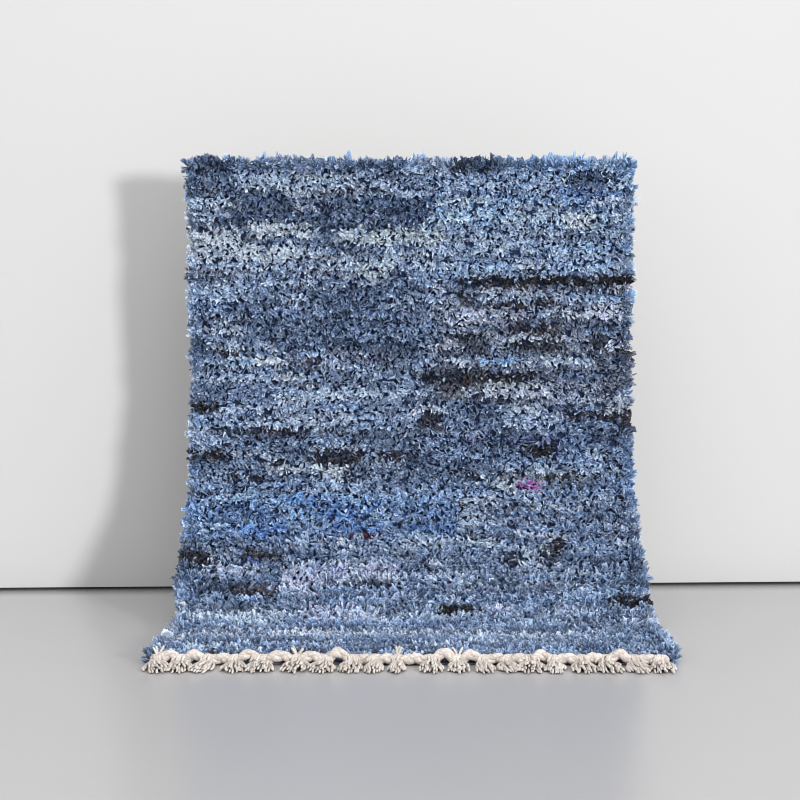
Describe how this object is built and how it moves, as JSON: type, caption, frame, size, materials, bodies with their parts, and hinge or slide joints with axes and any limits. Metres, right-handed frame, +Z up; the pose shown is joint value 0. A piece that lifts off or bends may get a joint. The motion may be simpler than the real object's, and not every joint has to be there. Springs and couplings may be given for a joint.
{
  "type": "boucherouite rug",
  "caption": "Small shag rug of knotted blue rag cloth, hung by its top edge with its lower end swept forward flat on the floor, and a plaited fringe with knotted tassels.",
  "frame": {"origin": "the middle of the footprint, on the floor that the lower end lies on", "axes": "+Z up, the shag of the hanging stretch faces -Y, the lower end lies forward along -Y, +X is to the right as seen from the front"},
  "size_m": [1.0444, 0.8128, 1.0385],
  "materials": {
    "shag": "matte knotted rag pile",
    "warp_cotton": "matte twisted cotton"
  },
  "bodies": {
    "root": {"rug_shag": "shag", "rim_top": "shag", "rim_left_1": "shag", "rim_left_2": "shag", "rim_left_3": "shag", "rim_left_4": "shag", "rim_left_5": "shag", "rim_left_6": "shag", "rim_right_1": "shag", "rim_right_2": "shag", "rim_right_3": "shag", "rim_right_4": "shag", "rim_right_5": "shag", "rim_right_6": "shag", "end_plait": "warp_cotton", "tassel_01": "warp_cotton", "tassel_02": "warp_cotton", "tassel_03": "warp_cotton", "tassel_04": "warp_cotton", "tassel_05": "warp_cotton", "tassel_06": "warp_cotton", "tassel_07": "warp_cotton", "tassel_08": "warp_cotton", "tassel_09": "warp_cotton", "tassel_10": "warp_cotton", "tassel_11": "warp_cotton", "tassel_12": "warp_cotton", "tassel_13": "warp_cotton", "tassel_14": "warp_cotton", "tassel_15": "warp_cotton", "tassel_16": "warp_cotton", "tassel_17": "warp_cotton", "tassel_18": "warp_cotton", "tassel_19": "warp_cotton", "tassel_20": "warp_cotton"}
  },
  "joints": []
}
